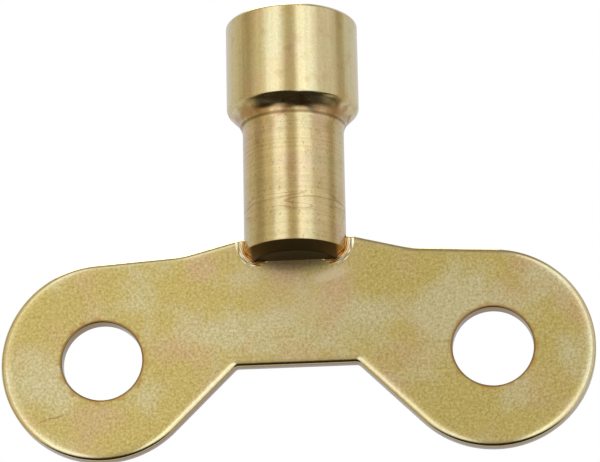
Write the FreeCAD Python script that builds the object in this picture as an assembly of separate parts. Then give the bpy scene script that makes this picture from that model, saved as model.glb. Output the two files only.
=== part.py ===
import FreeCAD, Part
import math
import os

# Radiator bleed key: a turned brass socket barrel straddles the top edge of a
# stamped two-winged handle and is brazed to it.
#
# Millimetres. The origin is the centre of the socket's mouth. +Z runs along the
# socket, out of the mouth; +X runs across the wings; the handle's front face,
# with the rolled edge left by the blanking die, looks along -Y.

V = FreeCAD.Vector

# ---- barrel: turned from half-inch bar -------------------------------------
head_diameter = 12.7
head_length = 8.9
stem_diameter = 9.7
stem_length = 12.8
foot_chamfer = 0.9
mouth_edge_break = 0.3

# ---- socket: a pilot hole, then a square broach ----------------------------
spindle_across_flats = 5.0
socket_clearance = 0.2
socket_depth = 10.0
pilot_over_square = 0.2
pilot_depth = 14.0
drill_point_angle = 118.0
lead_in_over_corners = 0.4

# ---- handle: blanked from brass sheet --------------------------------------
plate_thickness = 1.6
hole_spacing = 36.8
hole_diameter = 7.6
lobe_radius = 9.6
hole_below_foot = 9.15
hump_shoulder = 0.5
hump_slope_width = 5.4
hump_slope_drop = 1.4
hump_corner_radius = 3.0
hump_foot_radius = 9.0
notch_half_width = 5.75
notch_below_foot = 10.1
notch_corner_radius = 0.5
front_edge_roll = 0.45
rear_edge_break = 0.1

# ---- brazed joint ----------------------------------------------------------
slot_depth = 2.4
braze_gap = 0.06
fillet_leg = 0.9

# ---- derived ---------------------------------------------------------------
head_radius = head_diameter / 2
stem_radius = stem_diameter / 2
cone_length = head_radius - stem_radius
cone_start_z = -head_length
stem_start_z = cone_start_z - cone_length
chamfer_start_z = stem_start_z - stem_length
foot_z = chamfer_start_z - foot_chamfer
square_across_flats = spindle_across_flats + socket_clearance
pilot_radius = (square_across_flats + pilot_over_square) / 2
lead_in_radius = (square_across_flats * math.sqrt(2) + lead_in_over_corners) / 2
half_thickness = plate_thickness / 2
hump_half_width = stem_radius + hump_shoulder
slot_top_z = foot_z + slot_depth
hump_top_z = slot_top_z - braze_gap
hole_x = hole_spacing / 2
hole_z = foot_z - hole_below_foot
notch_z = foot_z - notch_below_foot


def turned(points):
    """A solid turned about Z from (radius, z) points."""
    wire = Part.makePolygon([V(r, 0, z) for r, z in points + points[:1]])
    return Part.Face(wire).revolve(V(0, 0, 0), V(0, 0, 1), 360)


def socket_void():
    """The space inside the barrel: lead-in cone, square and drilled pilot."""
    point_length = pilot_radius / math.tan(math.radians(drill_point_angle / 2))
    pilot = turned([(0, 0), (pilot_radius, 0), (pilot_radius, -pilot_depth),
                    (0, -pilot_depth - point_length)])
    half = square_across_flats / 2
    square = Part.makeBox(square_across_flats, square_across_flats, socket_depth,
                          V(-half, -half, -socket_depth))
    lead_in = turned([(0, 0), (lead_in_radius, 0), (0, -lead_in_radius)])
    return pilot.fuse([square, lead_in])


def barrel_blank():
    """The turned outside of the barrel, before the socket and the slot."""
    return turned([
        (0, 0),
        (head_radius - mouth_edge_break, 0),
        (head_radius, -mouth_edge_break),
        (head_radius, cone_start_z),
        (stem_radius, stem_start_z),
        (stem_radius, chamfer_start_z),
        (stem_radius - foot_chamfer, foot_z),
        (0, foot_z),
    ])


def slot_block():
    """The saw slot across the foot that takes the handle's top edge."""
    width = plate_thickness + 2 * braze_gap
    return Part.makeBox(stem_diameter, width, slot_depth, V(-stem_radius, -width / 2, foot_z))


def socket_barrel():
    return barrel_blank().cut(socket_void()).cut(slot_block())


def line(a, b):
    return Part.LineSegment(a, b).toShape()


def rounded_corner(before, corner, after, radius):
    """The two tangent points and the arc that round off one corner."""
    into = (before - corner).normalize()
    out = (after - corner).normalize()
    half_angle = into.getAngle(out) / 2
    reach = radius / math.tan(half_angle)
    start = corner + into * reach
    end = corner + out * reach
    centre = corner + (into + out).normalize() * (radius / math.sin(half_angle))
    middle = centre + (corner - centre).normalize() * radius
    return start, end, Part.Arc(start, middle, end).toShape()


def lobe_tangent(point, turn):
    """Where a line from a point touches the lobe; turn picks the side."""
    reach = point - V(hole_x, 0, hole_z)
    angle = math.atan2(reach.z, reach.x) + turn * math.acos(lobe_radius / reach.Length)
    return V(hole_x + lobe_radius * math.cos(angle), 0, hole_z + lobe_radius * math.sin(angle))


def half_outline():
    """The edges of the handle's right half, from the hump's middle to the notch's."""
    top = V(0, 0, hump_top_z)
    shoulder = V(hump_half_width, 0, hump_top_z)
    hump_foot = V(hump_half_width + hump_slope_width, 0, hump_top_z - hump_slope_drop)
    notch_corner = V(notch_half_width, 0, notch_z)
    notch_middle = V(0, 0, notch_z)
    upper_touch = lobe_tangent(hump_foot, -1)
    lower_touch = lobe_tangent(notch_corner, 1)
    lobe_side = V(hole_x + lobe_radius, 0, hole_z)
    a_start, a_end, a_arc = rounded_corner(top, shoulder, hump_foot, hump_corner_radius)
    b_start, b_end, b_arc = rounded_corner(shoulder, hump_foot, upper_touch, hump_foot_radius)
    c_start, c_end, c_arc = rounded_corner(lower_touch, notch_corner, notch_middle,
                                           notch_corner_radius)
    return [
        line(top, a_start),
        a_arc,
        line(a_end, b_start),
        b_arc,
        line(b_end, upper_touch),
        Part.Arc(upper_touch, lobe_side, lower_touch).toShape(),
        line(lower_touch, c_start),
        c_arc,
        line(c_end, notch_middle),
    ]


def plate_outline():
    right = half_outline()
    left = [edge.mirror(V(0, 0, 0), V(1, 0, 0)) for edge in right]
    return Part.Wire(Part.__sortEdges__(right + left))


def finger_hole(side):
    return Part.makeCylinder(hole_diameter / 2, plate_thickness,
                             V(side * hole_x, -half_thickness, hole_z), V(0, 1, 0))


def face_edges(solid, y):
    """The edges that lie wholly in one face of the sheet."""
    return [e for e in solid.Edges
            if abs(e.BoundBox.YMin - y) < 1e-6 and abs(e.BoundBox.YMax - y) < 1e-6]


def wing_plate():
    blank = Part.Face(plate_outline()).extrude(V(0, plate_thickness, 0))
    blank.translate(V(0, -half_thickness, 0))
    for side in (-1, 1):
        blank = blank.cut(finger_hole(side))
    blank = blank.makeFillet(front_edge_roll, face_edges(blank, -half_thickness))
    return blank.makeFillet(rear_edge_break, face_edges(blank, half_thickness))


def foot_profile(y, spread, top_z):
    """The foot's outline at a distance y from the axis, spread outwards."""
    half = math.sqrt(stem_radius ** 2 - y ** 2)
    foot_half = math.sqrt((stem_radius - foot_chamfer) ** 2 - y ** 2)
    corner = spread * math.tan(math.radians(22.5))
    points = [
        (-half - spread, top_z),
        (-half - spread, chamfer_start_z - corner),
        (-foot_half - corner, foot_z - spread),
        (foot_half + corner, foot_z - spread),
        (half + spread, chamfer_start_z - corner),
        (half + spread, top_z),
    ]
    return Part.makePolygon([V(x, y, z) for x, z in points + points[:1]])


def fillet_wedge(side):
    """The filler's fillet between the foot and one face of the handle."""
    face_y = side * half_thickness
    lip_y = face_y + side * fillet_leg
    wires = [foot_profile(face_y, fillet_leg, hump_top_z), foot_profile(lip_y, 0, hump_top_z)]
    return Part.makeLoft(wires, True, True)


def over_flat_face():
    """The space over the flat of the handle's faces, inside the rolled edge."""
    reach = half_thickness + fillet_leg
    flat = Part.Face(plate_outline().makeOffset2D(-front_edge_roll))
    space = flat.extrude(V(0, 2 * reach, 0))
    space.translate(V(0, -reach, 0))
    return space


def braze_joint(barrel, plate):
    """The filler: a film round the handle's edge in the slot, and two fillets."""
    film = slot_block().common(barrel_blank())
    fillets = fillet_wedge(-1).fuse(fillet_wedge(1)).common(over_flat_face())
    return film.fuse(fillets).cut(barrel).cut(plate)


def write(node, shape):
    solids = shape.Solids
    shape = solids[0] if len(solids) == 1 else Part.makeCompound(solids)
    box = shape.BoundBox
    print(f"{node}: {len(solids)} solid(s), valid {shape.isValid()}, {shape.Volume:.1f} mm3, "
          f"{box.XLength:.2f} x {box.YLength:.2f} x {box.ZLength:.2f} mm, "
          f"z {box.ZMin:.2f} to {box.ZMax:.2f}")
    shape.exportStep(f"parts/{node}.step")


os.makedirs("parts", exist_ok=True)
barrel = socket_barrel()
plate = wing_plate()
write("socket_barrel", barrel)
write("wing_plate", plate)
write("braze_joint", braze_joint(barrel, plate))
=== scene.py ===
# %% [markdown]
# # A radiator bleed key in brass
#
# The key is three pieces: a turned socket barrel, a handle blanked from sheet, and the
# filler that joins them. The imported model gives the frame: every new piece is built
# where the model says, in metres, with +Z along the socket and the wings along X.

# %% Load the frame
import math

import bmesh
import bpy
from mathutils import Matrix, Vector, noise


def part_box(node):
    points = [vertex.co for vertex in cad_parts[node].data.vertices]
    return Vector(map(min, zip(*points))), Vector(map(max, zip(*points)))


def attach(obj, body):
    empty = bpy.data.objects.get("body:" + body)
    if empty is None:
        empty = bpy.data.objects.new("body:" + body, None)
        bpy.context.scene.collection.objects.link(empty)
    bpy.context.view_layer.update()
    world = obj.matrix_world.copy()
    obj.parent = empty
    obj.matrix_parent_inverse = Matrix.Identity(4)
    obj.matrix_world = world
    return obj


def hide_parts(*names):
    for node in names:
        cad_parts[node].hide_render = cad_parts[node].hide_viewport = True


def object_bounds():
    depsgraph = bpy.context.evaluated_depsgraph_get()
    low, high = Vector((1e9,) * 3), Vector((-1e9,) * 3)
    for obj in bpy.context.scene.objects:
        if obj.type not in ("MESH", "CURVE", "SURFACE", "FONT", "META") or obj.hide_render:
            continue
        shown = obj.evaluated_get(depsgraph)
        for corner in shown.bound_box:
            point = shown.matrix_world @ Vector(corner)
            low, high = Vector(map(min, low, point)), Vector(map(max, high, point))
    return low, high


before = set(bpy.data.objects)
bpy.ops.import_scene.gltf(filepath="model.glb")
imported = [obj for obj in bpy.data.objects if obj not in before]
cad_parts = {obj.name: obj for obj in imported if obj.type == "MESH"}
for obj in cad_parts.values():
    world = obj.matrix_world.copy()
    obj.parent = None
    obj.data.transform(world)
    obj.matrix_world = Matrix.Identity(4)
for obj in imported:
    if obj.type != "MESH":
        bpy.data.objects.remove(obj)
cad_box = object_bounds()
MM = 0.001
print("nodes:", sorted(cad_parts))

# %% [markdown]
# ## Small helpers
#
# Colours are written as sRGB hex, the way a paint chart gives them, and turned to the
# linear values that the renderer works in. One function adds any shader node with its
# settings and links, so a material reads as a list of what feeds what. The settings that
# come back again and again have names of their own.

# %% Colours in linear light


def linear(hex_colour, strength=1.0):
    """The linear RGBA of an sRGB hex colour, times a strength."""
    channels = [int(hex_colour[i:i + 2], 16) / 255 for i in (1, 3, 5)]
    plain = [c / 12.92 if c <= 0.04045 else ((c + 0.055) / 1.055) ** 2.4 for c in channels]
    return [c * strength for c in plain] + [1.0]


print("mid grey in linear light:", round(linear("#808080")[0], 3))

# %% One function for every node
COLOURS = {"data_type": "RGBA"}
NUMBERS = {"data_type": "FLOAT"}
SMOOTH = {"interpolation_type": "SMOOTHSTEP"}
TIMES = {"operation": "MULTIPLY"}
TIMES_PLUS = {"operation": "MULTIPLY_ADD"}
LESS = {"operation": "SUBTRACT"}
PLAIN_SIZE = {"operation": "ABSOLUTE"}
LENGTH = {"operation": "LENGTH"}
SCALED = {"operation": "SCALE"}


def add(tree, kind, settings=None, inputs=None):
    """Add a node. Settings are its properties; an input is a value, a socket or a node."""
    node = tree.nodes.new("ShaderNode" + kind)
    for name, value in (settings or {}).items():
        setattr(node, name, value)
    for name, value in (inputs or {}).items():
        if isinstance(value, bpy.types.Node):
            value = next(s for s in value.outputs if s.enabled)
        if isinstance(value, bpy.types.NodeSocket):
            tree.links.new(value, node.inputs[name])
        else:
            node.inputs[name].default_value = value
    return node


def per_metre(size_mm):
    """A noise scale: how many spots of a size in millimetres fit in a metre."""
    return 1 / (size_mm * MM)


def fresh_material(name):
    """An empty material, its node tree and the object's own coordinates."""
    material = bpy.data.materials.new(name)
    material.use_nodes = True
    tree = material.node_tree
    tree.nodes.clear()
    return material, tree, add(tree, "TexCoord").outputs["Object"]


print("a 2 mm spot is a noise scale of", per_metre(2))

# %% [markdown]
# ## The camera
#
# The key is looked at from its front: the camera stands some 18 degrees below the key's
# own horizon and a few degrees to the right, so the socket's mouth hides behind its rim
# and the handle's lower edge shows its thickness. A long lens keeps the round head from
# bulging. The camera could be placed by hand, but an azimuth, an elevation and a
# distance round a point just above the joint are easier to tune. It is then rolled by
# about a degree.

# %% Camera
azimuth = math.radians(4.0)
elevation = math.radians(-18.2)
roll = math.radians(-1.1)
distance = 329 * MM
aim = Vector((0.47, 0, -20.93)) * MM
long_lens_mm = 207.6
sensor_mm = 36.0

to_camera = Vector((math.sin(azimuth) * math.cos(elevation),
                    -math.cos(azimuth) * math.cos(elevation),
                    math.sin(elevation)))
camera_data = bpy.data.cameras.new("camera")
camera_data.lens = long_lens_mm
camera_data.sensor_width = sensor_mm
camera_data.sensor_fit = "HORIZONTAL"
camera_data.clip_start = 0.01
camera_data.clip_end = 10.0
camera = bpy.data.objects.new("camera", camera_data)
camera.location = aim + to_camera * distance
level = (-to_camera).to_track_quat("-Z", "Y").to_matrix()
camera.rotation_euler = (level @ Matrix.Rotation(roll, 3, "Z")).to_euler()
scene = bpy.context.scene
scene.collection.objects.link(camera)
scene.camera = camera
scene.view_settings.view_transform = "Standard"
print("camera at", [round(v / MM, 1) for v in camera.location], "mm")

# %% [markdown]
# ## The studio
#
# Bare metal shows little of its own: it shows the room. So the room is built first, as a
# world shader that is read by direction. Lamps and cards could be modelled instead, but
# a list of directions is easier to tune. Two tall soft boxes stand in front, left and
# right, and draw the two bright bands down the barrel, and the right one has a brighter
# core. The room between them is dimmer and warm, and a screen and two reflectors at the
# sides light the barrel's flanks. The wall behind is white, so grazing edges turn pale.
# Each panel is a smooth bump round the compass, laid over the ones before it.

# %% Panels round the compass
panels = [
    # name, compass degrees (0 is in front, + is right), half width, soft edge, light
    ("dim_room", 0, 180, 1, linear("#c2b8a2", 0.95)),
    ("white_wall", 180, 71, 14, linear("#e6eaf6", 0.98)),
    ("front_fill", 0, 26, 10, linear("#d2c9b0", 1.0)),
    ("left_screen", -106, 12, 14, linear("#d3d1c8", 1.12)),
    ("left_reflector", -56, 11, 10, linear("#f2ecdc", 0.98)),
    ("right_reflector", 67, 21, 16, linear("#efeff8", 0.98)),
    ("left_soft_box", -28, 15, 10, linear("#dfe8ff", 2.05)),
    ("right_soft_box", 30, 16, 12, linear("#dde8ff", 1.92)),
    ("right_soft_box_core", 20, 7, 5, linear("#dde8ff", 2.30)),
]
world = bpy.data.worlds.new("studio")
world.use_nodes = True
scene.world = world
room = world.node_tree
room.nodes.clear()
look = add(room, "SeparateXYZ", {}, {0: add(room, "TexCoord").outputs["Object"]})
back_to_front = add(room, "Math", TIMES, {0: look.outputs["Y"], 1: -1.0})
compass = add(room, "Math", {"operation": "ARCTAN2"}, {0: look.outputs["X"], 1: back_to_front})
light = linear("#000000")
for name, middle, half_width, soft_edge, colour in panels:
    off = add(room, "Math", LESS, {0: compass, 1: math.radians(middle)})
    turned = add(room, "Math", {"operation": "WRAP"}, {0: off, 1: math.pi, 2: -math.pi})
    aside = add(room, "Math", PLAIN_SIZE, {0: turned})
    share = add(room, "MapRange", SMOOTH, {
        "Value": aside,
        "From Min": math.radians(half_width + soft_edge / 2),
        "From Max": math.radians(half_width - soft_edge / 2)})
    light = add(room, "Mix", COLOURS, {"Factor": share, "A": light, "B": colour})
print("panels:", ", ".join(panel[0] for panel in panels))

# %% [markdown]
# The room also has a top and a bottom. The ceiling is a warm grey. A dark cloth lies
# under the key and in front of it, so faces that look down read nearly black, while
# faces that look down and back still see the white wall's foot. The camera itself sees
# plain white: a Light Path node tells its rays from those that the metal sends out.

# %% Ceiling, cloth and backdrop
ceiling = add(room, "MapRange", SMOOTH, {"Value": look.outputs["Z"], "From Min": 0.75,
                                         "From Max": 0.97})
light = add(room, "Mix", COLOURS, {"Factor": ceiling, "A": light, "B": linear("#b0a898", 0.9)})
down = add(room, "Math", TIMES, {0: look.outputs["Z"], 1: -1.0})
low = add(room, "MapRange", SMOOTH, {"Value": down, "From Min": 0.50, "From Max": 0.76})
ahead = add(room, "MapRange", SMOOTH, {"Value": look.outputs["Y"], "From Min": 0.40,
                                       "From Max": 0.10})
cloth = add(room, "Math", TIMES, {0: low, 1: ahead})
light = add(room, "Mix", COLOURS, {"Factor": cloth, "A": light, "B": linear("#2c281f")})
seen_in_metal = add(room, "Background", {}, {"Color": light, "Strength": 1.0})
seen_directly = add(room, "Background", {}, {"Color": linear("#ffffff"), "Strength": 1.0})
ray = add(room, "LightPath")
backdrop = add(room, "MixShader", {}, {0: ray.outputs["Is Camera Ray"], 1: seen_in_metal,
                                       2: seen_directly})
add(room, "OutputWorld", {}, {"Surface": backdrop})
print("studio:", len(room.nodes), "nodes")

# %% [markdown]
# One real lamp hangs high behind the key. It draws a soft shadow on the floor and a thin
# light along the upper edges when the key is seen from above.

# %% Overhead lamp
lamp = bpy.data.lights.new("overhead_soft_box", "AREA")
lamp.shape = "DISK"
lamp.size = 0.35
lamp.energy = 1.2
overhead = bpy.data.objects.new("overhead_soft_box", lamp)
overhead.location = (-0.12, 0.25, 0.55)
overhead.rotation_euler = overhead.location.to_track_quat("Z", "Y").to_euler()
overhead.visible_camera = False
scene.collection.objects.link(overhead)
print("lamp", round(overhead.location.length, 2), "m from the key")

# %% [markdown]
# ## The floor
#
# The key stands on a pale sheet. A plane would do, but a wide disc has no corners to
# show. It fades to plain white with distance, as a curved paper sweep does, and it has
# no underside: a camera below it, as this one is, looks straight through. The metal
# doesn't mirror it, because the dark cloth belongs there.

# %% Floor sheet
floor_radius = 3.0
floor_mesh = bmesh.new()
bmesh.ops.create_circle(floor_mesh, cap_ends=True, segments=96, radius=floor_radius)
bmesh.ops.translate(floor_mesh, verts=floor_mesh.verts, vec=(0, 0, cad_box[0][2]))
floor_data = bpy.data.meshes.new("floor")
floor_mesh.to_mesh(floor_data)
floor_mesh.free()
floor = bpy.data.objects.new("floor", floor_data)
scene.collection.objects.link(floor)
floor.visible_glossy = False
floor.visible_shadow = False
floor.visible_diffuse = False
print("floor at", round(cad_box[0][2] / MM, 2), "mm")

# %% Floor paper
paper, tree, place = fresh_material("white_paper_sweep")
flat = add(tree, "VectorMath", TIMES, {0: place, 1: (1, 1, 0)})
far = add(tree, "VectorMath", LENGTH, {0: flat}).outputs["Value"]
white_out = add(tree, "MapRange", SMOOTH, {"Value": far, "From Min": 0.06, "From Max": 0.5})
matt = add(tree, "BsdfDiffuse", {}, {"Color": linear("#f7f6f3")})
glow = add(tree, "Emission", {}, {"Color": linear("#ffffff"), "Strength": 1.0})
sweep = add(tree, "MixShader", {}, {0: white_out, 1: matt, 2: glow})
underside = add(tree, "NewGeometry").outputs["Backfacing"]
one_sided = add(tree, "MixShader", {}, {0: underside, 1: sweep,
                                        2: add(tree, "BsdfTransparent")})
add(tree, "OutputMaterial", {}, {"Surface": one_sided})
floor_data.materials.append(paper)
print("paper:", len(tree.nodes), "nodes")

# %% [markdown]
# ## Sizes that the pieces share
#
# The finishes and the shapes both need to know where the foot ends or where a hole is,
# so these sizes come first. What a box can tell is read from the frame. The rest are
# the sizes that the maker set: the cone is cut at 45 degrees, so it is as long as the
# step from the head's radius to the stem's.

# %% Shared sizes
plate_low, plate_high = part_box("wing_plate")
front_y = plate_low.y
rear_y = plate_high.y
hump_top_z = plate_high.z
hole_x = 18.4 * MM
hole_z = -33.25 * MM
hole_radius = 3.8 * MM

barrel_low, barrel_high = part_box("socket_barrel")
mouth_z = barrel_high.z
foot_z = barrel_low.z
head_radius = barrel_high.x
head_length = 8.9 * MM
stem_radius = 4.85 * MM
foot_chamfer = 0.9 * MM
cone_start_z = mouth_z - head_length
stem_start_z = cone_start_z - (head_radius - stem_radius)
print("head, cone and stem end at", [round(z / MM, 2) for z in (cone_start_z, stem_start_z,
                                                                foot_z)], "mm")

# %% [markdown]
# ## Brass, three ways
#
# All three pieces are brass under a thin yellow-green passivation, so they share one
# recipe: a metal whose colour drifts from olive gold to a warmer and a paler tone, in
# patches a few millimetres wide, with a finer grain on top. What differs is how
# each surface was made. The barrel was drawn as bar and turned, so its marks run along
# it on the head and round it on the stem. The sheet was rolled, blanked and tumbled, so
# it is satin all over. The filler froze from liquid, so it is smooth.

# %% Passivated brass colour


def passivated_colour(tree, place, tones, patch_mm, grain_mm, contrast):
    """Gold drifting to a warmer and a paler tone in patches, under a fine grain."""
    gold, warm, pale = tones
    wide = add(tree, "TexNoise", {}, {"Vector": place, "Scale": per_metre(patch_mm),
                                      "Detail": 3.0})
    moved = add(tree, "Mapping", {}, {"Vector": place, "Location": (0.31, 0.17, 0.05)})
    other = add(tree, "TexNoise", {}, {"Vector": moved, "Scale": per_metre(patch_mm),
                                       "Detail": 4.0})
    fine = add(tree, "TexNoise", {}, {"Vector": place, "Scale": per_metre(grain_mm),
                                      "Detail": 4.0, "Roughness": 0.75})
    warmer = add(tree, "MapRange", SMOOTH, {"Value": wide, "From Min": 0.46, "From Max": 0.66})
    paler = add(tree, "MapRange", SMOOTH, {"Value": other, "From Min": 0.44, "From Max": 0.66})
    colour = add(tree, "Mix", COLOURS, {"Factor": warmer, "A": linear(gold), "B": linear(warm)})
    colour = add(tree, "Mix", COLOURS, {"Factor": paler, "A": colour, "B": linear(pale)})
    level = add(tree, "MapRange", {}, {"Value": fine, "From Min": 0.3, "From Max": 0.7})
    blue_contrast = 1.6 * contrast
    low = [1 - contrast, 1 - contrast, 1 - blue_contrast, 1.0]
    high = [1 + contrast, 1 + contrast, 1 + blue_contrast, 1.0]
    tint = add(tree, "Mix", COLOURS, {"Factor": level, "A": low, "B": high})
    colour = add(tree, "VectorMath", TIMES, {0: colour, 1: tint})
    return colour, fine


print("a grain of 0.26 mm is a noise scale of", round(per_metre(0.26)))

# %% [markdown]
# ### Pressed sheet
#
# Tumbled sheet has no direction: tiny peened spots blur what it reflects. Their real
# width is nearer a tenth of a millimetre than the 0.26 mm drawn here, which is as fine
# as shows when the whole key is in view. The colour darkens from the left wing to the
# right, a painted shade for light that falls more from the left. The rolled edge was
# rubbed smoother in the tumbler, and its colour is lightened towards cream there, a
# painted highlight. The surface's own normal finds the roll: it turns away from the flat face
# there.

# %% Pressed brass: sheet, painted shade to the right and painted highlight on the roll
pressed_brass, tree, place = fresh_material("pressed_brass_sheet")
sheet_tones = ("#cbb469", "#d0b17a", "#d3c38e")
colour, fine = passivated_colour(tree, place, sheet_tones, patch_mm=6.0, grain_mm=0.26,
                                 contrast=0.34)
across = add(tree, "SeparateXYZ", {}, {0: place}).outputs["X"]
# Painted shade: the colour is scaled down from left to right, for light that falls more from the
# left.
painted_right_shade = add(tree, "MapRange", SMOOTH, {"Value": across, "From Min": -12 * MM,
                                         "From Max": 8 * MM, "To Min": 0.93, "To Max": 0.80})
colour = add(tree, "VectorMath", SCALED, {0: colour, "Scale": painted_right_shade})
facing = add(tree, "SeparateXYZ", {}, {0: add(tree, "NewGeometry").outputs["True Normal"]})
flatness = add(tree, "Math", PLAIN_SIZE, {0: facing.outputs["Y"]})
roll_polish_and_highlight = add(tree, "MapRange", SMOOTH, {"Value": flatness, "From Min": 0.995,
                                           "From Max": 0.94})
# Painted highlight: the roll's colour is mixed towards pale cream.
painted_roll_highlight = add(tree, "Math", TIMES, {0: roll_polish_and_highlight, 1: 0.45})
colour = add(tree, "Mix", COLOURS, {"Factor": painted_roll_highlight, "A": colour, "B": linear("#e4d6a8")})
print("sheet:", len(tree.nodes), "nodes")

# %% [markdown]
# The punch has left a dark line round each hole, and orange-brown specks lie just
# outside it. A ring could be painted on the sheet by hand, but the distance from the
# hole's centre draws the same ring, and noise added to it makes it ragged.

# %% Pressed brass: stains round the holes
speck_noise = add(tree, "TexNoise", {}, {"Vector": place, "Scale": per_metre(0.8),
                                         "Detail": 2.0})
for side in (-1, 1):
    from_hole = add(tree, "VectorMath", LESS, {0: place, 1: (side * hole_x, 0, hole_z)})
    flat = add(tree, "VectorMath", TIMES, {0: from_hole, 1: (1, 0, 1)})
    hole_distance = add(tree, "VectorMath", LENGTH, {0: flat}).outputs["Value"]
    ragged = add(tree, "Math", TIMES_PLUS, {0: speck_noise, 1: 1.5 * MM, 2: hole_distance})
    stain = add(tree, "MapRange", SMOOTH, {"Value": ragged,
                                           "From Min": hole_radius + 1.28 * MM,
                                           "From Max": hole_radius + 0.85 * MM,
                                           "To Max": 0.55})
    colour = add(tree, "Mix", COLOURS, {"Factor": stain, "A": colour, "B": linear("#b07c3c")})
    rim = add(tree, "MapRange", SMOOTH, {"Value": hole_distance,
                                         "From Min": hole_radius + 0.26 * MM,
                                         "From Max": hole_radius + 0.12 * MM,
                                         "To Max": 0.8})
    colour = add(tree, "Mix", COLOURS, {"Factor": rim, "A": colour, "B": linear("#745a2c")})
print("stains start", round((hole_radius + 1.28 * MM) / MM, 2), "mm from each hole's centre")

# %% [markdown]
# Use has left two marks on the face: a brown scratch low on the left wing and a pale
# smear beside the joint. Each is a short line with its own middle and tilt. A Mapping
# node of the TEXTURE kind moves the coordinates to it, and noise bends it a little.

# %% Pressed brass: scratch and smear
face_marks = [
    # what, middle, tilt in radians, half length, half width, strength, colour
    ("scratch", (-23.1 * MM, 0, -38.7 * MM), -0.26, 2.1 * MM, 0.06 * MM, 0.55, "#94693a"),
    ("smear", (3.3 * MM, 0, -25.6 * MM), -0.33, 2.4 * MM, 0.50 * MM, 0.30, "#ece2c8"),
]
wander = 0.5 * MM
for what, middle, tilt, half_length, half_width, strength, tone in face_marks:
    there = add(tree, "Mapping", {"vector_type": "TEXTURE"}, {
        "Vector": place, "Location": middle, "Rotation": (0, tilt, 0)})
    ruled = add(tree, "SeparateXYZ", {}, {0: there})
    bent = add(tree, "Math", TIMES_PLUS, {0: speck_noise, 1: wander, 2: ruled.outputs["Z"]})
    bent = add(tree, "Math", LESS, {0: bent, 1: wander / 2})
    off_line = add(tree, "Math", PLAIN_SIZE, {0: bent})
    along_line = add(tree, "Math", PLAIN_SIZE, {0: ruled.outputs["X"]})
    thin = add(tree, "MapRange", SMOOTH, {"Value": off_line, "From Min": 1.5 * half_width,
                                          "From Max": 0.5 * half_width})
    short = add(tree, "MapRange", SMOOTH, {"Value": along_line, "From Min": half_length,
                                           "From Max": 0.3 * half_length,
                                           "To Max": strength})
    line = add(tree, "Math", TIMES, {0: thin, 1: short})
    colour = add(tree, "Mix", COLOURS, {"Factor": line, "A": colour, "B": linear(tone)})
    print(what, round(2 * half_length / MM, 1), "mm long")

# %% [markdown]
# The joint was heated, which has turned the sheet near it a little pinker. A narrow strip
# right under the foot is darkened to brown, a painted shadow of the foot. The sheared edge
# is torn rather than rolled, so it is browner.

# %% Pressed brass: heat tint, painted shadow under the foot and cut edge
cloud = add(tree, "TexNoise", {}, {"Vector": place, "Scale": per_metre(2.4), "Detail": 3.0})
from_foot = add(tree, "VectorMath", LESS, {0: place, 1: (0, 0, foot_z)})
flat = add(tree, "VectorMath", TIMES, {0: from_foot, 1: (1, 0, 1)})
foot_distance = add(tree, "VectorMath", LENGTH, {0: flat}).outputs["Value"]
ragged = add(tree, "Math", TIMES_PLUS, {0: cloud, 1: 6 * MM, 2: foot_distance})
washed = add(tree, "MapRange", SMOOTH, {"Value": ragged, "From Min": 10.5 * MM,
                                        "From Max": 7.5 * MM, "To Max": 0.22})
colour = add(tree, "Mix", COLOURS, {"Factor": washed, "A": colour, "B": linear("#c8ac84")})
# Painted shadow: a flattened dark patch right under the foot.
squashed = add(tree, "VectorMath", TIMES, {0: from_foot, 1: (0.33, 0, 1)})
under = add(tree, "VectorMath", LENGTH, {0: squashed}).outputs["Value"]
painted_foot_shadow = add(tree, "MapRange", SMOOTH, {"Value": under, "From Min": 1.4 * MM,
                                          "From Max": 0.4 * MM, "To Max": 0.5})
colour = add(tree, "Mix", COLOURS, {"Factor": painted_foot_shadow, "A": colour, "B": linear("#6e5530")})
cut_edge = add(tree, "MapRange", SMOOTH, {"Value": flatness, "From Min": 0.25,
                                          "From Max": 0.05})
colour = add(tree, "Mix", COLOURS, {"Factor": cut_edge, "A": colour, "B": linear("#8c6e3a")})
print("heat and edge:", len(tree.nodes), "nodes so far")

# %% [markdown]
# Satin is roughness: the flat face scatters what it mirrors and the rubbed roll hardly
# does. Two bumps bend the reflections, one for the peened spots and one, slow and
# shallow, for sheet that is never quite flat.

# %% Pressed brass: surface
satin = add(tree, "MapRange", {}, {"Value": fine, "From Min": 0.3, "From Max": 0.7,
                                   "To Min": 0.36, "To Max": 0.46})
rubbed_roughness = 0.16
roughness = add(tree, "Mix", NUMBERS, {"Factor": roll_polish_and_highlight, "A": satin, "B": rubbed_roughness})
peened = add(tree, "Bump", {}, {"Strength": 0.4, "Distance": 0.012 * MM, "Height": fine})
bowed = add(tree, "TexNoise", {}, {"Vector": place, "Scale": per_metre(5.0), "Detail": 1.0})
slow = add(tree, "Bump", {}, {"Strength": 0.5, "Distance": 0.05 * MM, "Height": bowed,
                              "Normal": peened})
metal = add(tree, "BsdfPrincipled", {}, {"Base Color": colour, "Metallic": 1.0,
                                         "Roughness": roughness, "Normal": slow})
add(tree, "OutputMaterial", {}, {"Surface": metal})
print("pressed brass:", len(tree.nodes), "nodes")

# %% [markdown]
# ### Drawn and turned bar
#
# The head keeps the bar's drawn skin, with faint streaks along its length. The stem was
# turned down, so very fine rings run round it, and its skin is a little darker and
# pitted. Stretching the coordinates of one noise along the axis gives streaks, and
# squashing them gives rings. Real ones are a few hundredths of a millimetre apart; these
# are drawn at 0.25 to 0.4 mm, so that they show. Brown tarnish lies over both.

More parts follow.
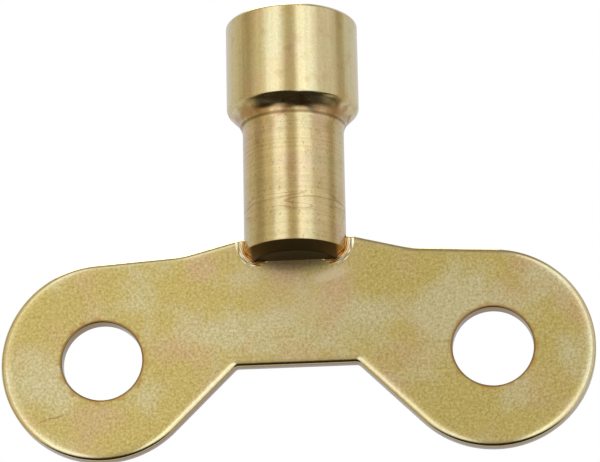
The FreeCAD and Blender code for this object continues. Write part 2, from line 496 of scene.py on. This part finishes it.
# %% Turned brass: streaks, rings and tarnish
turned_brass, tree, place = fresh_material("drawn_and_turned_brass_bar")
bar_tones = ("#d3be88", "#d6bc92", "#d1c18d")
colour, fine = passivated_colour(tree, place, bar_tones, patch_mm=3.6, grain_mm=0.26,
                                 contrast=0.10)
height = add(tree, "SeparateXYZ", {}, {0: place}).outputs["Z"]
on_head = add(tree, "MapRange", SMOOTH, {"Value": height, "From Min": cone_start_z - 0.2 * MM,
                                         "From Max": cone_start_z})
along = add(tree, "Mapping", {}, {"Vector": place, "Scale": (1, 1, 0.03)})
round_it = add(tree, "Mapping", {}, {"Vector": place, "Scale": (0.02, 0.02, 1)})
streaks = add(tree, "TexNoise", {}, {"Vector": along, "Scale": per_metre(0.4), "Detail": 2.0})
rings = add(tree, "TexNoise", {}, {"Vector": round_it, "Scale": per_metre(0.25), "Detail": 1.0})
tool_marks = add(tree, "Mix", NUMBERS, {"Factor": on_head, "A": rings, "B": streaks})
shade = add(tree, "MapRange", {}, {"Value": tool_marks, "From Min": 0.3, "From Max": 0.7,
                                   "To Min": 0.93, "To Max": 1.07})
colour = add(tree, "VectorMath", SCALED, {0: colour, "Scale": shade})
blotch = add(tree, "TexNoise", {}, {"Vector": place, "Scale": per_metre(1.3), "Detail": 4.0})
tarnish = add(tree, "MapRange", SMOOTH, {"Value": blotch, "From Min": 0.54, "From Max": 0.74,
                                         "To Max": 0.28})
colour = add(tree, "Mix", COLOURS, {"Factor": tarnish, "A": colour, "B": linear("#ad8850")})
print("bar skin:", len(tree.nodes), "nodes")

# %% Turned brass: the stem's pits
on_stem = add(tree, "MapRange", SMOOTH, {"Value": height, "From Min": stem_start_z + 0.5 * MM,
                                         "From Max": stem_start_z - 0.5 * MM})
stem_tint = add(tree, "Mix", COLOURS, {"Factor": on_stem, "A": linear("#ffffff"),
                                       "B": linear("#f6f1ea")})
colour = add(tree, "VectorMath", TIMES, {0: colour, 1: stem_tint})
pit_noise = add(tree, "TexNoise", {}, {"Vector": place, "Scale": per_metre(0.3), "Detail": 2.0})
pits = add(tree, "MapRange", SMOOTH, {"Value": pit_noise, "From Min": 0.60, "From Max": 0.72,
                                      "To Max": 0.5})
stem_pits = add(tree, "Math", TIMES, {0: pits, 1: on_stem})
colour = add(tree, "Mix", COLOURS, {"Factor": stem_pits, "A": colour, "B": linear("#8c7038")})
print("stem tint starts at", round(stem_start_z / MM, 2), "mm")

# %% [markdown]
# Low on the stem the tool has chattered: thin broken lines run round it. They are the
# contour lines of a flattened noise, drawn where the noise crosses its middle value, and
# they are kept to a narrow band. Brazing heat has browned the neck, where the cone meets
# the stem, and a fine dark groove runs round just under it.

# %% Turned brass: chatter, neck and groove
chatter_z = foot_z + 4.7 * MM
groove_z = stem_start_z - 0.15 * MM
neck_z = stem_start_z + 0.4 * MM
flattened = add(tree, "Mapping", {}, {"Vector": place, "Scale": (0.14, 0.14, 1)})
chatter = add(tree, "TexNoise", {}, {"Vector": flattened, "Scale": per_metre(0.7),
                                     "Detail": 1.0})
off_middle = add(tree, "Math", PLAIN_SIZE, {0: add(tree, "Math", LESS, {0: chatter, 1: 0.5})})
contour = add(tree, "MapRange", SMOOTH, {"Value": off_middle, "From Min": 0.045,
                                         "From Max": 0.01})
from_chatter = add(tree, "Math", PLAIN_SIZE, {0: add(tree, "Math", LESS, {0: height,
                                                                          1: chatter_z})})
in_band = add(tree, "MapRange", SMOOTH, {"Value": from_chatter, "From Min": 1.2 * MM,
                                         "From Max": 0.6 * MM, "To Max": 0.42})
lines = add(tree, "Math", TIMES, {0: contour, 1: in_band})
colour = add(tree, "Mix", COLOURS, {"Factor": lines, "A": colour, "B": linear("#7d6232")})

from_neck = add(tree, "Math", PLAIN_SIZE, {0: add(tree, "Math", LESS, {0: height, 1: neck_z})})
ragged = add(tree, "Math", TIMES_PLUS, {0: blotch, 1: 2.4 * MM, 2: from_neck})
heated = add(tree, "MapRange", SMOOTH, {"Value": ragged, "From Min": 2.0 * MM,
                                        "From Max": 1.3 * MM, "To Max": 0.7})
colour = add(tree, "Mix", COLOURS, {"Factor": heated, "A": colour, "B": linear("#a06f3c")})
from_groove = add(tree, "Math", PLAIN_SIZE, {0: add(tree, "Math", LESS, {0: height,
                                                                         1: groove_z})})
groove = add(tree, "MapRange", SMOOTH, {"Value": from_groove, "From Min": 0.24 * MM,
                                        "From Max": 0.04 * MM, "To Max": 0.7})
colour = add(tree, "Mix", COLOURS, {"Factor": groove, "A": colour, "B": linear("#76592c")})
print("chatter, neck and groove at", [round(z / MM, 2) for z in (chatter_z, neck_z, groove_z)])

# %% [markdown]
# Faces that look down, low on the barrel, are darkened in their colour, a painted shade
# for the dark they face. The end face is painted the darkest, its chamfer brown, and beyond
# a width from the axis the metal is painted orange-gold, a painted reflection.

# %% Turned brass: painted shade and painted reflection on the foot
facing = add(tree, "SeparateXYZ", {}, {0: add(tree, "NewGeometry").outputs["True Normal"]})
faces_down = add(tree, "MapRange", SMOOTH, {"Value": facing.outputs["Z"], "From Min": -0.3,
                                            "From Max": -0.6})
sideways = add(tree, "Math", PLAIN_SIZE,
               {0: add(tree, "SeparateXYZ", {}, {0: place}).outputs["X"]})
inside = add(tree, "MapRange", SMOOTH, {"Value": sideways, "From Min": 4.3 * MM,
                                        "From Max": 3.9 * MM})
at_foot = add(tree, "MapRange", SMOOTH, {"Value": height, "From Min": foot_z + 1.2 * MM,
                                         "From Max": foot_z + 1.0 * MM})
# Painted shade and painted reflection: down-facing foot faces turn orange-gold outside and dark
# brown to near black inside.
foot_light_mask = add(tree, "Math", TIMES, {0: faces_down, 1: at_foot})
painted_gold_reflection = add(tree, "Mix", COLOURS, {"Factor": foot_light_mask, "A": colour,
                                      "B": linear("#b98a3e")})
painted_foot_shade = add(tree, "Math", TIMES, {0: foot_light_mask, 1: inside})
end_face = add(tree, "MapRange", {}, {"Value": facing.outputs["Z"], "From Min": -0.8,
                                      "From Max": -0.95})
painted_shade_tones = add(tree, "Mix", COLOURS, {"Factor": end_face, "A": linear("#604c2a"),
                                  "B": linear("#2c210f")})
colour = add(tree, "Mix", COLOURS, {"Factor": painted_foot_shade, "A": painted_gold_reflection, "B": painted_shade_tones})
print("foot:", len(tree.nodes), "nodes so far")

# %% [markdown]
# The tool marks and blotches are a few hundredths of a millimetre deep at most, so they
# are bumps. The neck is wavier, as if worked by hand: a slow noise, centred on zero and
# faded out above and below, bends its reflections into dark and pale streaks.

# %% Turned brass: surface
relief = add(tree, "Bump", {}, {"Strength": 0.4, "Distance": 0.006 * MM, "Height": tool_marks})
uneven = add(tree, "Bump", {}, {"Strength": 0.4, "Distance": 0.02 * MM, "Height": blotch,
                                "Normal": relief})
stretched = add(tree, "Mapping", {}, {"Vector": place, "Scale": (1, 1, 2.2)})
waves = add(tree, "TexNoise", {}, {"Vector": stretched, "Scale": per_metre(3.4), "Detail": 0.0,
                                   "Distortion": 0.6})
on_neck = add(tree, "MapRange", SMOOTH, {"Value": from_neck, "From Min": 1.1 * MM,
                                         "From Max": 0.7 * MM})
centred = add(tree, "Math", LESS, {0: waves, 1: 0.5})
filed = add(tree, "Math", TIMES, {0: centred, 1: on_neck})
wavy = add(tree, "Bump", {}, {"Strength": 1.0, "Distance": 0.4 * MM, "Height": filed,
                              "Normal": uneven})
turned_roughness = 0.22
foot_shade_roughness = 0.45
# The painted shade's area on the foot is also rougher.
roughness = add(tree, "Mix", NUMBERS, {"Factor": painted_foot_shade, "A": turned_roughness,
                                       "B": foot_shade_roughness})
metal = add(tree, "BsdfPrincipled", {}, {"Base Color": colour, "Metallic": 1.0,
                                         "Roughness": roughness, "Normal": wavy})
add(tree, "OutputMaterial", {}, {"Surface": metal})
print("turned brass:", len(tree.nodes), "nodes")

# %% [markdown]
# ### Brazing filler
#
# The filler shines where it froze. Near the foot its colour is orange-gold, a painted
# reflection of the foot in the hollow curve. Further out it is pale, and the dip between
# its two ridges is darkened, a painted shade. All three follow the distance from the
# foot's outline, which has a flat side, a flat end and a chamfer between them: the larger
# of the distances from the side and from the chamfer is used.

# %% Foot outline
bead_centre_z = plate_high.z - 0.3 * MM
foot_across = math.sqrt(stem_radius ** 2 - rear_y ** 2)
foot_down = bead_centre_z - foot_z
foot_slope = foot_across + foot_down - foot_chamfer
print("foot is", round(2 * foot_across / MM, 2), "mm across at the handle's face")

# %% Braze filler
diagonal = math.sqrt(0.5)
filler_brass, tree, place = fresh_material("frozen_brazing_filler")
filler_tones = ("#e6d8b0", "#dcc490", "#e2d6b4")
colour, fine = passivated_colour(tree, place, filler_tones, patch_mm=1.5, grain_mm=0.3,
                                 contrast=0.08)
spot = add(tree, "SeparateXYZ", {}, {0: place})
beside = add(tree, "Math", PLAIN_SIZE, {0: spot.outputs["X"]})
below = add(tree, "Math", LESS, {0: bead_centre_z, 1: spot.outputs["Z"]})
slant = add(tree, "Math", {"operation": "ADD"}, {0: beside, 1: below})
from_chamfer = add(tree, "Math", TIMES_PLUS, {0: slant, 1: diagonal,
                                              2: -diagonal * foot_slope})
from_side = add(tree, "Math", LESS, {0: beside, 1: foot_across})
from_foot = add(tree, "Math", {"operation": "MAXIMUM"}, {0: from_chamfer, 1: from_side})
# Painted reflection: orange-gold colour next to the foot.
painted_foot_reflection = add(tree, "MapRange", SMOOTH, {"Value": from_foot, "From Min": 0.26 * MM,
                                         "From Max": 0.14 * MM, "To Max": 0.9})
colour = add(tree, "Mix", COLOURS, {"Factor": painted_foot_reflection, "A": colour, "B": linear("#c08c42")})
# Painted shade: the dip between the two ridges is darkened.
from_dip = add(tree, "Math", PLAIN_SIZE, {0: add(tree, "Math", LESS, {0: from_foot,
                                                                      1: 0.55 * MM})})
painted_dip_shade = add(tree, "MapRange", SMOOTH, {"Value": from_dip, "From Min": 0.12 * MM,
                                     "From Max": 0.03 * MM, "To Max": 0.7})
colour = add(tree, "Mix", COLOURS, {"Factor": painted_dip_shade, "A": colour, "B": linear("#5a4420")})
rippled = add(tree, "Bump", {}, {"Strength": 0.3, "Distance": 0.02 * MM, "Height": fine})
metal = add(tree, "BsdfPrincipled", {}, {"Base Color": colour, "Metallic": 1.0,
                                         "Roughness": 0.18, "Normal": rippled})
add(tree, "OutputMaterial", {}, {"Surface": metal})
print("filler:", len(tree.nodes), "nodes")

# %% [markdown]
# ## From bmesh to a finished piece
#
# Each piece ends the same way: doubles merged, normals pointing out, edges sharper than
# a set angle kept crisp, a material, its place on the body, and the node it stands for hidden.
# The corner helper rounds a wire before it is spun or filled, which is lighter and
# cleaner than bevelling the finished solid.

# %% Finish a piece
weld_distance = 0.0005 * MM
speck_size = 0.0002 * MM


def finish_piece(name, mesh, material, node, crisp_degrees=32):
    """Turn a bmesh into an object that replaces a node of the frame."""
    bmesh.ops.remove_doubles(mesh, verts=mesh.verts, dist=weld_distance)
    bmesh.ops.dissolve_degenerate(mesh, dist=speck_size, edges=mesh.edges)
    bmesh.ops.recalc_face_normals(mesh, faces=mesh.faces)
    data = bpy.data.meshes.new(name)
    open_edges = sum(not e.is_manifold for e in mesh.edges)
    mesh.to_mesh(data)
    mesh.free()
    data.shade_smooth()
    data.set_sharp_from_angle(angle=math.radians(crisp_degrees))
    data.materials.append(material)
    piece = bpy.data.objects.new(name, data)
    scene.collection.objects.link(piece)
    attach(piece, "root")
    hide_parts(node)
    print(name, len(data.vertices), "vertices,", open_edges, "open edges")


def round_off(mesh, vertex, reach, segments):
    """Round one corner of a wire: reach is how far along each edge the arc starts."""
    bmesh.ops.bevel(mesh, geom=[vertex], offset=reach, offset_type="OFFSET", segments=segments,
                    profile=0.5, affect="VERTICES", material=-1)


print("corners closer than", round(weld_distance / MM, 4), "mm are welded")

# %% [markdown]
# ## The barrel
#
# A turned part is a half outline spun round its axis, so that is how it is drawn: a wire
# from the bottom of the pilot hole, up the socket, over the mouth, down the outside and
# across the foot. Corners that a tool or a hand has softened are rounded on the wire
# before it is spun: each point has its radius, its height and how far the rounding
# reaches. The neck's reach is long, so cone and stem meet in a hollow curve.

# %% Barrel outline
pilot_radius = 2.7 * MM
pilot_depth = 14.0 * MM
square_half = 2.6 * MM
square_depth = 10.0 * MM
lead_in_radius = 3.876 * MM
drill_half_angle = math.radians(59)
drill_tip = pilot_radius / math.tan(drill_half_angle)
mouth_break = 0.3 * MM
square_marker = 3.2 * MM
lead_in_depth = 1.2 * MM
turns = 192
corner_segments = 6

outline = [
    (0, mouth_z - pilot_depth - drill_tip, 0),
    (pilot_radius, mouth_z - pilot_depth, 0),
    (pilot_radius, mouth_z - square_depth, 0),
    (square_marker, mouth_z - square_depth, 0),
    (square_marker, mouth_z - lead_in_depth, 0),
    (lead_in_radius, mouth_z, 0.05 * MM),
    (head_radius - mouth_break, mouth_z, 0.12 * MM),
    (head_radius, mouth_z - mouth_break, 0.12 * MM),
    (head_radius, cone_start_z, 0.30 * MM),
    (stem_radius, stem_start_z, 0.90 * MM),
    (stem_radius, foot_z + foot_chamfer, 0.08 * MM),
    (stem_radius - foot_chamfer, foot_z, 0.08 * MM),
    (0, foot_z, 0),
]

mesh = bmesh.new()
corners = [mesh.verts.new((r, 0, z)) for r, z, _ in outline]
for a, b in zip(corners, corners[1:]):
    mesh.edges.new((a, b))
for corner, (_, _, reach) in zip(corners, outline):
    if reach:
        round_off(mesh, corner, reach, corner_segments)
bmesh.ops.spin(mesh, geom=mesh.verts[:] + mesh.edges[:], cent=(0, 0, 0), axis=(0, 0, 1),
               angle=math.tau, steps=turns, use_merge=True)
bmesh.ops.remove_doubles(mesh, verts=mesh.verts, dist=weld_distance)
print("spun barrel:", len(mesh.verts), "vertices")

# %% [markdown]
# The socket was broached: a square tool was pushed into a drilled pilot. A cut with a
# box would do, but here the socket was spun round as well, and its two marked rings are
# pushed out to the square's outline, which leaves the pilot's shallow scallops in the
# flats. The upper ring also moves up or down, so the lead-in stays a 45 degree cone.

# %% Square socket


def socket_outline(angle):
    """How far the socket's wall is from the axis, at an angle round it."""
    from_flat = abs((angle + math.pi / 4) % (math.pi / 2) - math.pi / 4)
    return max(pilot_radius, square_half / math.cos(from_flat))


near_enough = 0.01 * MM
for vertex in mesh.verts:
    x, y, z = vertex.co
    if abs(math.hypot(x, y) - square_marker) < near_enough and z > mouth_z - pilot_depth:
        angle = math.atan2(y, x)
        wall = socket_outline(angle)
        vertex.co.x = wall * math.cos(angle)
        vertex.co.y = wall * math.sin(angle)
        if z > mouth_z - square_depth / 2:
            vertex.co.z = mouth_z + wall - lead_in_radius
print("socket", round(2 * square_half / MM, 2), "mm across flats")

# %% [markdown]
# A saw cut across the foot takes the handle, with a hair's width to spare for filler.
# Planes score the foot along the slot's roof and walls, the faces between them are
# deleted, and new faces close the two walls and the roof.

# %% Saw slot
cut_tolerance = 1e-8
plane_tolerance = 0.001 * MM
braze_gap = 0.06 * MM
slot_half = rear_y + braze_gap
slot_top_z = plate_high.z + braze_gap


def cut(mesh, faces, point, normal):
    """Score the given faces along a plane."""
    edges = {e for f in faces for e in f.edges}
    verts = {v for f in faces for v in f.verts}
    bmesh.ops.bisect_plane(mesh, geom=[*verts, *edges, *faces], plane_co=point, plane_no=normal,
                           dist=cut_tolerance)


cut(mesh, mesh.faces[:], (0, 0, slot_top_z), (0, 0, 1))
for side in (-1, 1):
    low_faces = [f for f in mesh.faces if f.calc_center_median().z < slot_top_z]
    cut(mesh, low_faces, (0, side * slot_half, 0), (0, 1, 0))
sawn = [f for f in mesh.faces if f.calc_center_median().z < slot_top_z
        and abs(f.calc_center_median().y) < slot_half]
bmesh.ops.delete(mesh, geom=sawn, context="FACES")
print("slot", round(2 * slot_half / MM, 2), "mm wide,", len(sawn), "faces sawn away")

# %% Slot walls and roof


def on_plane(edge, axis, value):
    """True if both ends of an edge lie at a value along an axis."""
    return all(abs(v.co[axis] - value) < plane_tolerance for v in edge.verts)


rim = [e for e in mesh.edges if e.is_boundary]
roof_corners = [v for e in rim for v in e.verts
                if abs(v.co.z - slot_top_z) < plane_tolerance
                and abs(abs(v.co.y) - slot_half) < plane_tolerance]
roof_edges = []
for side in (-1, 1):
    ends = list({v for v in roof_corners if v.co.y * side > 0})
    chord = mesh.edges.new(ends)
    roof_edges.append(chord)
    wall = [e for e in rim if on_plane(e, 1, side * slot_half)]
    bmesh.ops.contextual_create(mesh, geom=wall + [chord])
arcs = [e for e in rim if on_plane(e, 2, slot_top_z) and e not in roof_edges]
bmesh.ops.contextual_create(mesh, geom=arcs + roof_edges)
finish_piece("socket_barrel_turned", mesh, turned_brass, "socket_barrel")

# %% [markdown]
# ## The handle
#
# A blanking die cuts the outline from sheet in one stroke. The front face is drawn down
# over the cutting edge, so it ends in a wide soft roll, and the rear edge is left almost
# square. The outline is half drawn and mirrored: a few corners, rounded where the die
# is, and one arc round the wing, which the straight lines touch without a kink.

# %% Handle outline
lobe_radius = plate_high.x - hole_x
hump_half = 5.35 * MM
hump_slope_run = 5.4 * MM
hump_slope_drop = 1.4 * MM
hump_foot = (hump_half + hump_slope_run, hump_top_z - hump_slope_drop)
notch_corner = (5.75 * MM, -34.2 * MM)


def lobe_touch(x, z, turn):
    """Where a line from a point touches the wing's round end."""
    apart = math.hypot(x - hole_x, z - hole_z)
    angle = math.atan2(z - hole_z, x - hole_x) + turn * math.acos(lobe_radius / apart)
    return angle, (hole_x + lobe_radius * math.cos(angle), hole_z + lobe_radius * math.sin(angle))


def corner_reach(before, corner, after, radius):
    """How far from a corner an arc of that radius starts."""
    a = Vector(before) - Vector(corner)
    b = Vector(after) - Vector(corner)
    return radius / math.tan(a.angle(b) / 2)


upper_angle, upper_touch = lobe_touch(*hump_foot, -1)
lower_angle, lower_touch = lobe_touch(*notch_corner, 1)
hump_start = (0, hump_top_z)
hump_corner = (hump_half, hump_top_z)
notch_middle = (0, notch_corner[1])
lobe_steps = 96
hump_radius = 3.0 * MM
slope_radius = 9.0 * MM
notch_radius = 0.5 * MM
print("wing radius", round(lobe_radius / MM, 2), "mm")

# %% Handle face


def handle_face(y):
    """The handle's outline as one flat face at a depth y."""
    mesh = bmesh.new()
    right = [hump_start, hump_corner, hump_foot, upper_touch]
    chain = [mesh.verts.new((x, y, z)) for x, z in right]
    for a, b in zip(chain, chain[1:]):
        mesh.edges.new((a, b))
    sweep = (lower_angle - upper_angle) % math.tau - math.tau
    spun = bmesh.ops.spin(mesh, geom=[chain[-1]], cent=(hole_x, y, hole_z), axis=(0, -1, 0),
                          angle=sweep, steps=lobe_steps)
    last = [v for v in spun["geom_last"] if isinstance(v, bmesh.types.BMVert)][0]
    tail = [last] + [mesh.verts.new((x, y, z)) for x, z in (notch_corner, notch_middle)]
    for a, b in zip(tail, tail[1:]):
        mesh.edges.new((a, b))
    rounds = (
        (chain[1], corner_reach(hump_start, hump_corner, hump_foot, hump_radius), 10),
        (chain[2], corner_reach(hump_corner, hump_foot, upper_touch, slope_radius), 8),
        (tail[1], corner_reach(lower_touch, notch_corner, notch_middle, notch_radius), 6),
    )
    for vertex, reach, segments in rounds:
        round_off(mesh, vertex, reach, segments)
    bmesh.ops.mirror(mesh, geom=mesh.verts[:] + mesh.edges[:], axis="X",
                     merge_dist=plane_tolerance)
    bmesh.ops.remove_doubles(mesh, verts=mesh.verts, dist=plane_tolerance)
    bmesh.ops.contextual_create(mesh, geom=mesh.edges[:])
    return mesh


trial_face = handle_face(0.0)
print("handle outline:", len(trial_face.verts), "points,", len(trial_face.faces), "face")
trial_face.free()

# %% [markdown]
# ### From face to blank
#
# Two copies of the face, one nearer the front and one nearer the rear, are bridged into
# a slab. A bevel would give every edge the same round roll. Here the roll is a row of
# insets, each a little further in and nearer the face, along a quarter of an ellipse,
# so that it can be wider than it is deep.

# %% Roll helpers
roll_width = 1.1 * MM
roll_depth = 0.45 * MM
roll_steps = 10
rear_break = 0.1 * MM
rear_steps = 3
flat_margin = 0.25 * MM


def quarter_ellipse(width, depth, steps):
    """(inward, outward) moves that walk from the edge's wall to the flat face."""
    points = [(width * (1 - math.cos(a)), depth * math.sin(a))
              for a in (i * math.pi / 2 / steps for i in range(steps + 1))]
    return [(b[0] - a[0], b[1] - a[1]) for a, b in zip(points, points[1:])]


def roll_face(mesh, face, moves):
    """Inset a face step by step and return its last, flat, version."""
    for inward, outward in moves:
        bmesh.ops.inset_region(mesh, faces=[face], thickness=inward, depth=outward,
                               use_even_offset=True)
    return face


def add_mesh(mesh, other):
    """Copy one bmesh's geometry into another."""
    scratch = bpy.data.meshes.new("scratch")
    other.to_mesh(scratch)
    other.free()
    mesh.from_mesh(scratch)
    bpy.data.meshes.remove(scratch)


print("front roll", round(roll_width / MM, 2), "mm wide,", round(roll_depth / MM, 2), "mm deep")

# %% Rolled blank
mesh = bmesh.new()
add_mesh(mesh, handle_face(front_y + roll_depth))
add_mesh(mesh, handle_face(rear_y - rear_break))
mesh.faces.ensure_lookup_table()
front_face, rear_face = sorted(mesh.faces, key=lambda f: f.calc_center_median().y)
bmesh.ops.bridge_loops(mesh, edges=list(front_face.edges) + list(rear_face.edges))
for face, way in ((front_face, -1), (rear_face, 1)):
    face.normal_update()
    if face.normal.y * way < 0:
        face.normal_flip()
bmesh.ops.recalc_face_normals(mesh, faces=mesh.faces)
front_face = roll_face(mesh, front_face, quarter_ellipse(roll_width, roll_depth, roll_steps)
                       + [(flat_margin, 0)])
rear_face = roll_face(mesh, rear_face, quarter_ellipse(rear_break, rear_break, rear_steps)
                      + [(flat_margin, 0)])
print("rolled blank:", len(mesh.faces), "faces")

# %% [markdown]
# ### The punched holes
#
# A punch leaves a much smaller roll than the blanking die does. A hole could be cut with
# a cylinder, but an outline spun round the hole's own axis brings its roll in front and
# its crisp edge behind with it. The flat faces are then filled between the outer loop
# and the two hole loops.

# %% Hole outline
hole_roll = 0.14 * MM
hole_roll_steps = 8
hole_turns = 96


def hole_profile():
    """(radius, y) points from the front flat through the hole to the rear flat."""
    points = [(hole_radius + hole_roll + flat_margin, front_y)]
    for i in range(hole_roll_steps + 1):
        a = math.pi / 2 * (1 - i / hole_roll_steps)
        points.append((hole_radius + hole_roll * (1 - math.cos(a)),
                       front_y + hole_roll * (1 - math.sin(a))))
    points.append((hole_radius, rear_y - rear_break))
    points.append((hole_radius + rear_break, rear_y))
    points.append((hole_radius + rear_break + flat_margin, rear_y))
    return points


print("hole outline:", len(hole_profile()), "points")

# %% Holes and flats
flat_loops = {front_y: list(front_face.edges), rear_y: list(rear_face.edges)}
bmesh.ops.delete(mesh, geom=[front_face, rear_face], context="FACES_ONLY")
for side in (-1, 1):
    centre_x = side * hole_x
    before = set(mesh.edges)
    wire = [mesh.verts.new((centre_x + r, y, hole_z)) for r, y in hole_profile()]
    for a, b in zip(wire, wire[1:]):
        mesh.edges.new((a, b))
    bmesh.ops.spin(mesh, geom=wire + [e for e in mesh.edges if e not in before],
                   cent=(centre_x, 0, hole_z), axis=(0, 1, 0), angle=math.tau,
                   steps=hole_turns, use_merge=True)
    for edge in [e for e in mesh.edges if e not in before and e.is_boundary]:
        near = front_y if abs(edge.verts[0].co.y - front_y) < near_enough else rear_y
        flat_loops[near].append(edge)
for y, edges in flat_loops.items():
    bmesh.ops.triangle_fill(mesh, use_beauty=True, use_dissolve=False, edges=edges,
                            normal=(0, -1 if y < 0 else 1, 0))
finish_piece("wing_plate_pressed", mesh, pressed_brass, "wing_plate")

# %% [markdown]
# ## The brazed joint
#
# Filler is drawn into the corner between the foot and the handle and freezes there as a
# small hollow curve. Here it also stands up in a bead beside the foot, with a second,
# fainter ridge where it stopped running. Both fade out under the foot. A curve with a
# round bevel couldn't change its section on the way, so the section is swept round the
# foot's outline: a ring of points is placed on the first station, extruded, and placed
# again on each station after it. The outline is a box with a chamfer, and a sum of high
# powers blends its sides so that the bead turns the corners softly.

# %% Round the foot


def foot_wall(angle):
    """Distance from the bead's centre line to the foot's outline where it meets the handle."""
    limits = (abs(math.cos(angle)) / foot_across, abs(math.sin(angle)) / foot_down,
              (abs(math.cos(angle)) + abs(math.sin(angle))) / foot_slope)
    sharpness = 10
    return sum(v ** sharpness for v in limits) ** (-1 / sharpness)


print("foot's end is", round(foot_wall(-math.pi / 2) / MM, 2), "mm under the bead's centre")

# %% Bead section
bead_reach = 0.95 * MM
bead_root = 0.2 * MM
foot_overlap = 0.15 * MM
stations = 96
section_steps = 32


def smooth_step(x, low, high):
    """0 at low, 1 at high, smooth between."""
    t = min(1.0, max(0.0, (x - low) / (high - low)))
    return t * t * (3 - 2 * t)


def hill(x, middle, width):
    """A smooth bump."""
    return math.exp(-((x - middle) / width) ** 2)


def bead_height(out, angle):
    """How high the filler stands off the handle, at a distance out from the foot."""
    out_mm = out / MM
    beside = smooth_step(abs(math.cos(angle)), 0.76, 0.93)
    taper = 0.35 + 0.65 * smooth_step(abs(math.sin(angle)), 0.0, 0.15)
    wobble = 1 + 0.1 * noise.noise(Vector((math.cos(angle) * 3, math.sin(angle) * 3, out_mm)))
    corner_mm = 0.30 * hill(out_mm, 0, 0.15)
    bead_mm = 0.16 * hill(out_mm, 0.37, 0.12)
    lip_mm = 0.09 * hill(out_mm, 0.73, 0.12)
    sunk_mm = 0.01
    return ((corner_mm + (bead_mm + lip_mm) * wobble) * beside * taper - sunk_mm) * MM


def bead_section(angle, side):
    """One ring of the bead: over its top from the foot to the handle, then back under."""
    top = []
    for i in range(section_steps + 1):
        out = bead_reach * i / section_steps
        top.append((out, bead_height(out, angle)))
    under = [(bead_reach, -bead_root), (-foot_overlap, -bead_root), (-foot_overlap, top[0][1])]
    ring = []
    for out, height in top + under:
        reach = foot_wall(angle) + out
        ring.append(Vector((reach * math.cos(angle), side * (rear_y + height),
                            bead_centre_z + reach * math.sin(angle))))
    return ring


print("bead", round(bead_height(0.37 * MM, math.pi) / MM, 3), "mm high at its upper end")

# %% Swept bead


def sweep_bead(side):
    """A closed bead on one face of the handle."""
    mesh = bmesh.new()
    count = section_steps + 4
    bmesh.ops.create_circle(mesh, cap_ends=False, segments=count, radius=MM)
    ring = sorted(mesh.verts, key=lambda v: math.atan2(v.co.y, v.co.x))
    edges = mesh.edges[:]
    caps = [edges]
    for i in range(stations + 1):
        angle = math.pi + math.pi * i / stations
        if i:
            grown = bmesh.ops.extrude_edge_only(mesh, edges=edges)["geom"]
            edges = [g for g in grown if isinstance(g, bmesh.types.BMEdge) and g.is_boundary]
            fresh = {v for e in edges for v in e.verts}
            ring = [next(e.other_vert(v) for e in v.link_edges if e.other_vert(v) in fresh)
                    for v in ring]
        for vertex, point in zip(ring, bead_section(angle, side)):
            vertex.co = point
    caps.append(edges)
    for loop in caps:
        bmesh.ops.contextual_create(mesh, geom=loop)
    return mesh


joint = bmesh.new()
for side in (-1, 1):
    add_mesh(joint, sweep_bead(side))
print("two beads:", len(joint.verts), "vertices")

# %% [markdown]
# The film is what the saw slot holds round the handle: over its top and down both its
# faces, like a narrow staple. It is one flat face pulled through the foot from side to
# side, and its ends stop at the slot's mouth, just inside the stem's round wall. The
# film's square edges stay crisp. The beads are smooth all over, so the filler's set
# angle is 80 degrees.

# %% Film in the slot
crisp_over = 80
film_end = math.sqrt(stem_radius ** 2 - slot_half ** 2)
film = bmesh.new()
sides = [(-slot_half, foot_z), (-slot_half, slot_top_z), (slot_half, slot_top_z),
         (slot_half, foot_z), (rear_y, foot_z), (rear_y, hump_top_z), (front_y, hump_top_z),
         (front_y, foot_z)]
loop = [film.verts.new((-film_end, y, z)) for y, z in sides]
cap = film.faces.new(loop)
pulled = bmesh.ops.extrude_face_region(film, geom=[cap])["geom"]
bmesh.ops.translate(film, verts=[g for g in pulled if isinstance(g, bmesh.types.BMVert)],
                    vec=(2 * film_end, 0, 0))
add_mesh(joint, film)
finish_piece("braze_joint_filler", joint, filler_brass, "braze_joint",
             crisp_over)
